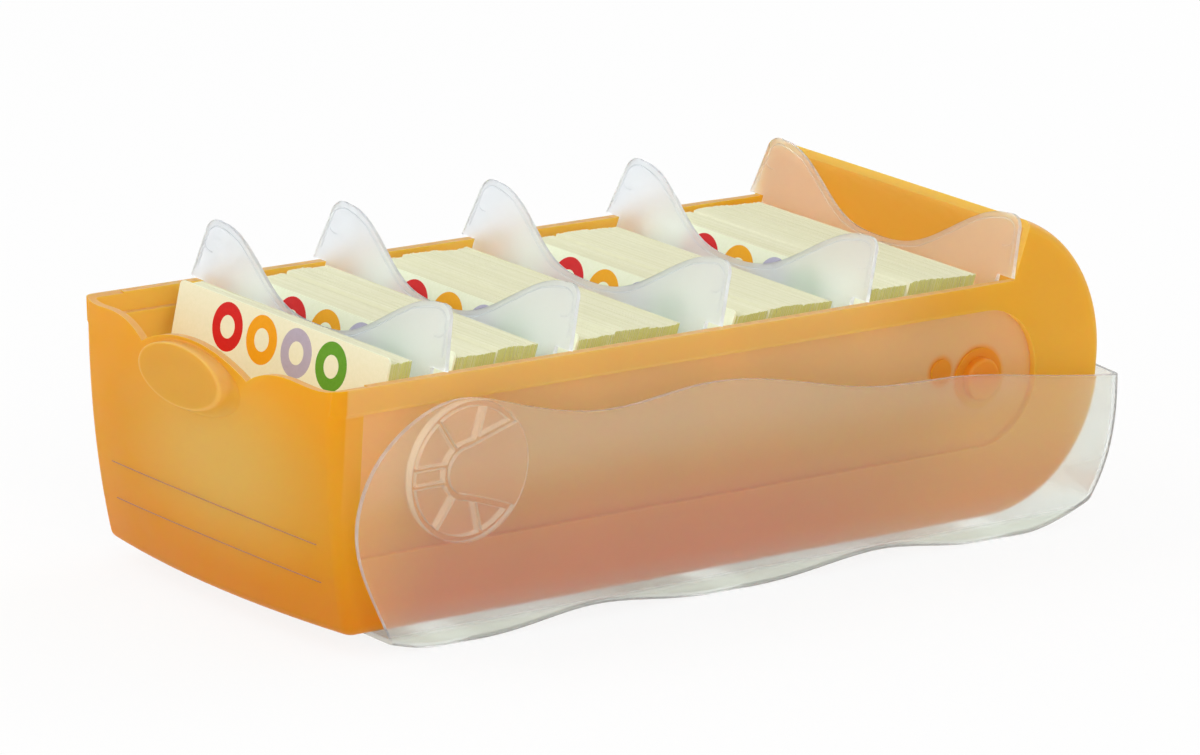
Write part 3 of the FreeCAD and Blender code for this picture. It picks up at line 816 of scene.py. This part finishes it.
def run_tree(name, mesh, tree, values):
    """Object whose mesh is what the tree makes, with no modifier left on it."""
    piece = bpy.data.objects.new(name, mesh)
    bpy.context.scene.collection.objects.link(piece)
    modifier = piece.modifiers.new("rule", "NODES")
    modifier.node_group = tree
    for item in tree.interface.items_tree:
        if item.in_out == "INPUT" and item.name in values:
            modifier[item.identifier] = values[item.name]
    bpy.context.view_layer.update()
    made = bpy.data.meshes.new_from_object(piece.evaluated_get(bpy.context.evaluated_depsgraph_get()))
    piece.modifiers.clear()
    piece.data = made
    return piece


def body_lean(body):
    """Lean of a body that lifts out along its own slope."""
    for joint in frame["joints"]:
        if joint["child"] == body:
            axis = joint["axis"]
            return math.atan2(axis[1], axis[2])
    return 0.0


def make_packet(tree, node, body, seed, finish):
    """Single sheets in the place of a packet's solid."""
    low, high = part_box(node)
    lean = body_lean(body)
    height = high.z - low.z
    depth = high.y - low.y - height * math.tan(lean)
    cards = round(depth / (card_pitch * mm))
    pitch = depth / cards
    thickness = pitch * math.cos(lean) - card_gap * mm
    sheet = (high.x - low.x, thickness, (height - thickness * math.sin(lean)) / math.cos(lean))
    values = {"Cards": cards, "Pitch": pitch, "Sheet": sheet, "Lean": -lean,
              "Side Spread": card_side_spread * mm, "Side Drift": card_side_drift * mm,
              "Height Spread": card_height_spread, "Height Drift": card_height_drift,
              "Turn Spread": card_turn_spread, "Seed": seed, "Finish": finish}
    piece = run_tree(node + "_sheets", bpy.data.meshes.new(node + "_sheets"), tree, values)
    foot = Vector(((low.x + high.x) / 2, low.y, low.z + thickness * math.sin(lean)))
    piece.data.transform(Matrix.Translation(foot))
    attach(piece, body)
    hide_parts(node)


def circle_points(x, y, radius, steps):
    return [Vector((x + radius * math.cos(2 * math.pi * step / steps),
                    y + radius * math.sin(2 * math.pi * step / steps))) for step in range(steps)]


def card_outline(half_width, height, radius):
    """Flat outline with round corners, its foot at height zero."""
    points = []
    corners = [(half_width - radius, radius, -90), (half_width - radius, height - radius, 0),
               (radius - half_width, height - radius, 90), (radius - half_width, radius, 180)]
    for x, y, start in corners:
        for step in range(corner_steps + 1):
            angle = math.radians(start + 90 * step / corner_steps)
            points.append(Vector((x + radius * math.cos(angle), y + radius * math.sin(angle))))
    return points


def make_header(node, body, finishes):
    """Header card: paper, with rings of colour let into its front face."""
    low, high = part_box(node)
    lean = body_lean(body)
    height = high.z - low.z
    thickness = (high.y - low.y - height * math.tan(lean)) * math.cos(lean)
    length = (height - thickness * math.sin(lean)) / math.cos(lean)
    half = (high.x - low.x) / 2

    loops = [card_outline(half, length, header_corner * mm)]
    for place in ring_places:
        for radius in (ring_radius, ring_hole):
            loops.append(circle_points(place * mm, length - ring_depth * mm, radius * mm, ring_steps))
    points = [point for loop in loops for point in loop]
    edges = []
    start = 0
    for loop in loops:
        count = len(loop)
        edges += [(start + step, start + (step + 1) % count) for step in range(count)]
        start += count
    flat, _, triangles, _, _, _ = delaunay_2d_cdt(points, edges, [], 0, 1e-7)

    mesh = bpy.data.meshes.new(node + "_printed")
    form = bmesh.new()
    front = [form.verts.new((point.x, 0.0, point.y)) for point in flat]
    for triangle in triangles:
        face = form.faces.new([front[index] for index in triangle])
        middle = face.calc_center_median()
        for number, place in enumerate(ring_places, 1):
            reach = math.hypot(middle.x - place * mm, middle.z - (length - ring_depth * mm))
            if ring_hole * mm < reach < ring_radius * mm:
                face.material_index = number
    rim = [edge for edge in form.edges if edge.is_boundary]
    copied = bmesh.ops.duplicate(form, geom=form.verts[:] + form.edges[:] + form.faces[:])["geom"]
    back_verts = [item for item in copied if isinstance(item, bmesh.types.BMVert)]
    back_edges = [item for item in copied if isinstance(item, bmesh.types.BMEdge) and item.is_boundary]
    for item in copied:
        if isinstance(item, bmesh.types.BMFace):
            item.material_index = 0
    bmesh.ops.translate(form, verts=back_verts, vec=(0.0, thickness, 0.0))
    bmesh.ops.bridge_loops(form, edges=rim + back_edges)
    bmesh.ops.recalc_face_normals(form, faces=form.faces[:])
    form.to_mesh(mesh)
    form.free()
    for finish in finishes:
        mesh.materials.append(finish)
    foot = Vector(((low.x + high.x) / 2, low.y, low.z + thickness * math.sin(lean)))
    mesh.transform(Matrix.Translation(foot) @ Matrix.Rotation(-lean, 4, "X"))
    piece = bpy.data.objects.new(node + "_printed", mesh)
    bpy.context.scene.collection.objects.link(piece)
    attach(piece, body)
    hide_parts(node)


def path_mesh(name, points):
    mesh = bpy.data.meshes.new(name)
    mesh.from_pydata(points, [(step, step + 1) for step in range(len(points) - 1)], [])
    return mesh


def make_ruled_line(tree, number, height, surface, finish):
    """Thread that follows the bowed front wall, most of it sunk into the wall."""
    points = []
    for step in range(ruled_steps + 1):
        share = 2 * step / ruled_steps - 1
        x = ruled_middle + ruled_half_length * share
        start = Vector((x, drawn_origin.y - ruled_search, height + ruled_rise * (1 - share * share))) * mm
        place, normal, _, _ = surface.ray_cast(start, Vector((0.0, 1.0, 0.0)))
        points.append(place - normal * ruled_sunk * mm)
    name = "ruled_line_%d" % number
    piece = run_tree(name, path_mesh(name, points), tree, {"Radius": ruled_radius * mm, "Finish": finish})
    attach(piece, "tub")


def smooth_path(points, steps):
    """Catmull-Rom curve through points."""
    path = []
    padded = [2 * points[0] - points[1]] + points + [2 * points[-1] - points[-2]]
    for first, start, end, last in zip(padded, padded[1:], padded[2:], padded[3:]):
        for step in range(steps):
            t = step / steps
            slope = (end - first) * t
            bend = (2 * first - 5 * start + 4 * end - last) * t * t
            twist = (3 * start - first - 3 * end + last) * t ** 3
            path.append(0.5 * (2 * start + slope + bend + twist))
    return path + [points[-1]]


def inset_path(path, distance):
    """The path moved to its right by a distance, in its own plane."""
    moved = []
    for index, point in enumerate(path):
        ahead = path[min(index + 1, len(path) - 1)] - path[max(index - 1, 0)]
        side = Vector((ahead.y, -ahead.x)).normalized()
        moved.append(point + side * distance)
    return moved


def make_divider_thread(tree, body, name, outline, radius, finish):
    """Low thread on a divider's leaning front face, along an outline drawn upright."""
    low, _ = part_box(body)
    lean = body_lean(body)
    points = []
    for point in outline:
        height = (point.y + drawn_origin.z) * mm - low.z
        points.append(Vector((point.x * mm, low.y + height * math.tan(lean), low.z + height)))
    piece = run_tree(name, path_mesh(name, points), tree, {"Radius": radius * mm, "Finish": finish})
    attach(piece, body)


def make_divider_marks(tree, body, finish):
    """Bead inside the outline of the ears and dip, and a small hook on each ear."""
    right = [Vector(point) for point in divider_dip + ear_side]
    left = [Vector((-point.x, point.y)) for point in reversed(right[1:])]
    bead = inset_path(smooth_path(left + right, bead_steps), bead_inset)
    make_divider_thread(tree, body, body + "_bead", bead, bead_radius, finish)
    for side, sign in (("left", -1), ("right", 1)):
        hook = smooth_path([Vector((sign * x, height)) for x, height in ear_hook], hook_steps)
        make_divider_thread(tree, body, "%s_%s_hook" % (body, side), hook, hook_radius, finish)


def give_finish(node, finish):
    slots = nodes[node].material_slots
    if not slots:
        nodes[node].data.materials.append(finish)
    for place in slots:
        place.material = finish


make_camera()
make_world()
make_floor()
for lamp in lamps:
    make_lamp(*lamp)

orange = orange_plastic()
frosted = frosted_plastic()
divider_finish = divider_plastic()
sheets = card_stock()
header_paper = printed_paper("header_paper", *header_tones, paper_rough)
inks = [printed_paper(*ink, ink_rough) for ink in ink_tones]
ruling = printed_paper("ruling_ink", *ruling_tones, ink_rough)

give_finish("tub", orange)
give_finish("lid", frosted)

threads = line_tree()
packets = packet_tree()
tub_surface = BVHTree.FromObject(nodes["tub"], bpy.context.evaluated_depsgraph_get())
for number, height in enumerate(ruled_heights, 1):
    make_ruled_line(threads, number, height, tub_surface, ruling)

seed = 1
for body, members in sorted(frame["record"]["behaviour"]["bodies"].items()):
    for node in members:
        if node.startswith("divider"):
            give_finish(node, divider_finish)
            make_divider_marks(threads, body, divider_finish)
        elif node.startswith("header"):
            make_header(node, body, [header_paper] + inks)
        elif node.startswith("cards"):
            make_packet(packets, node, body, seed, sheets)
            seed += 1

bpy.context.scene.view_settings.view_transform = "Standard"
